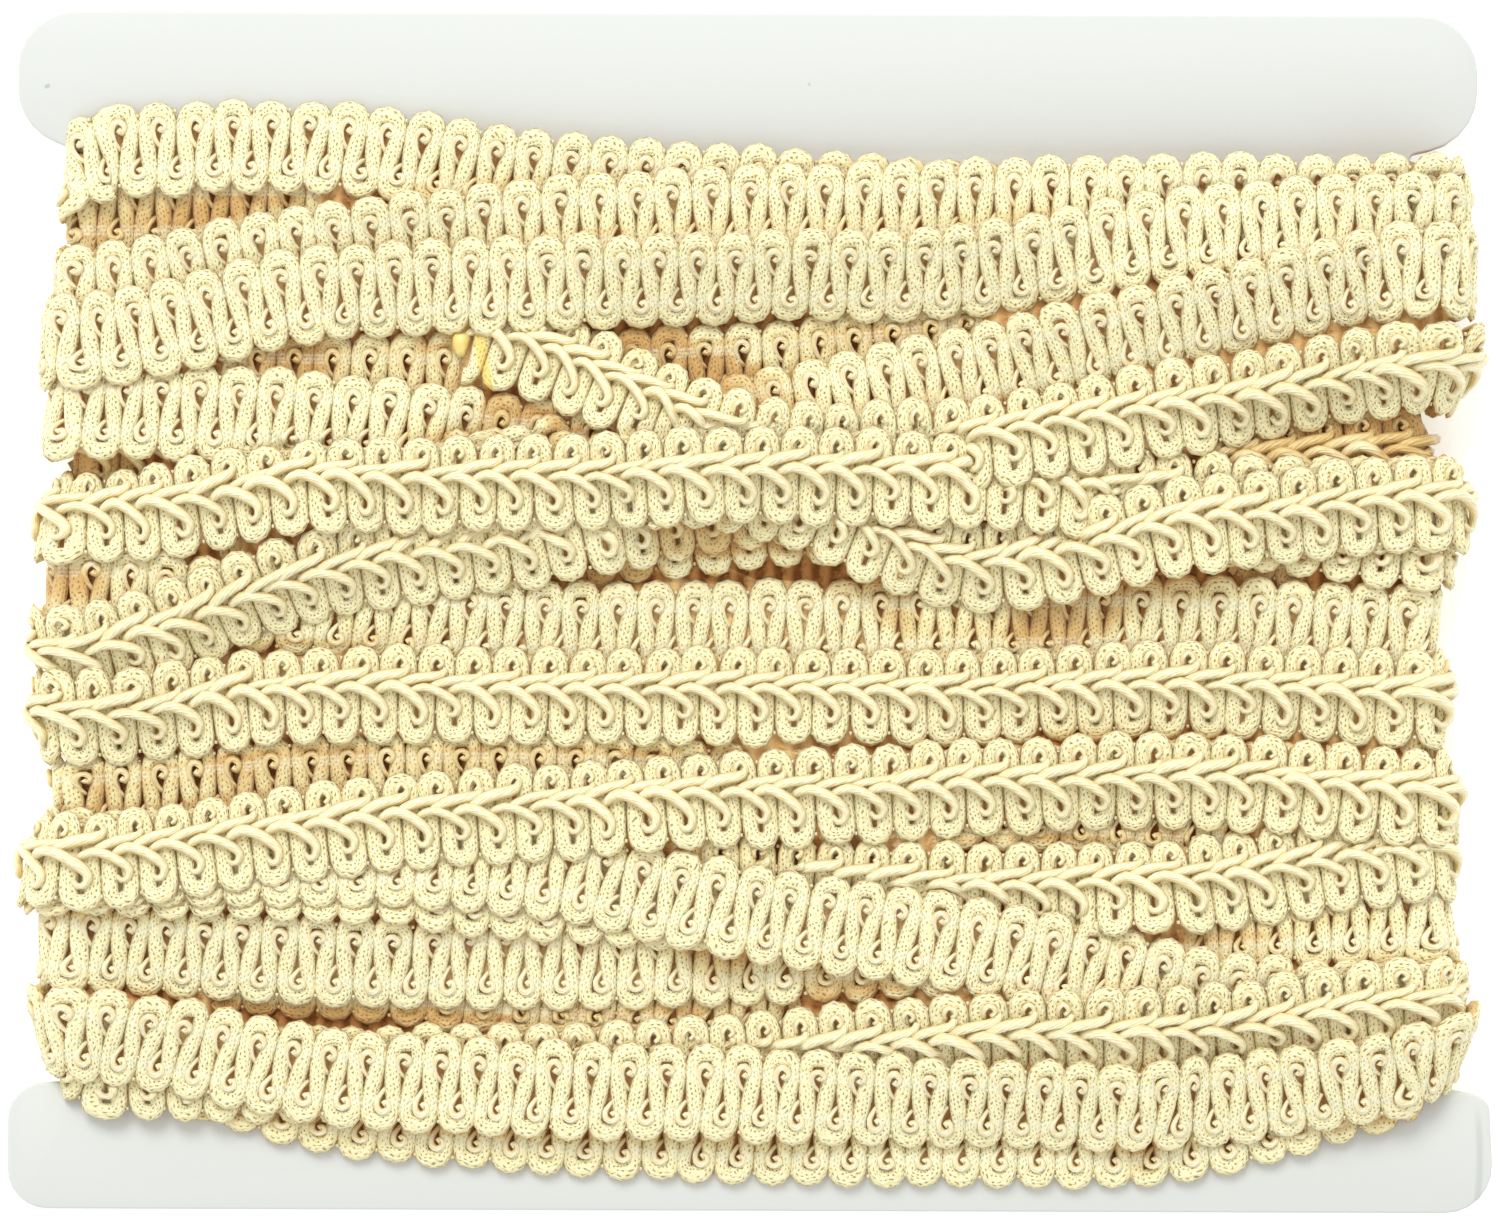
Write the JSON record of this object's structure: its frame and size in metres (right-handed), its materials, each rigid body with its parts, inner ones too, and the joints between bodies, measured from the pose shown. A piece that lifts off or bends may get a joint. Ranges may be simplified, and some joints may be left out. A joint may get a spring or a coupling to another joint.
{
  "type": "braid trim wound on a card",
  "caption": "Pale scroll gimp braid trim wound in slanting, crossing turns round a flat dog-bone card, with its loose cut end showing.",
  "frame": {"origin": "under the middle of the wound pack's outline, on the surface that it lies on", "axes": "+X along the card's width, +Y up its face towards the upper flange, +Z out of the face that shows"},
  "size_m": [0.2037, 0.165, 0.0184],
  "materials": {
    "card_board": "matt white board",
    "gimp_braid": "knitted matt yarn with a satin cord spine, cream"
  },
  "bodies": {
    "root": {"card": "card_board", "wound_braid": "gimp_braid", "loose_end": "gimp_braid"}
  },
  "joints": []
}
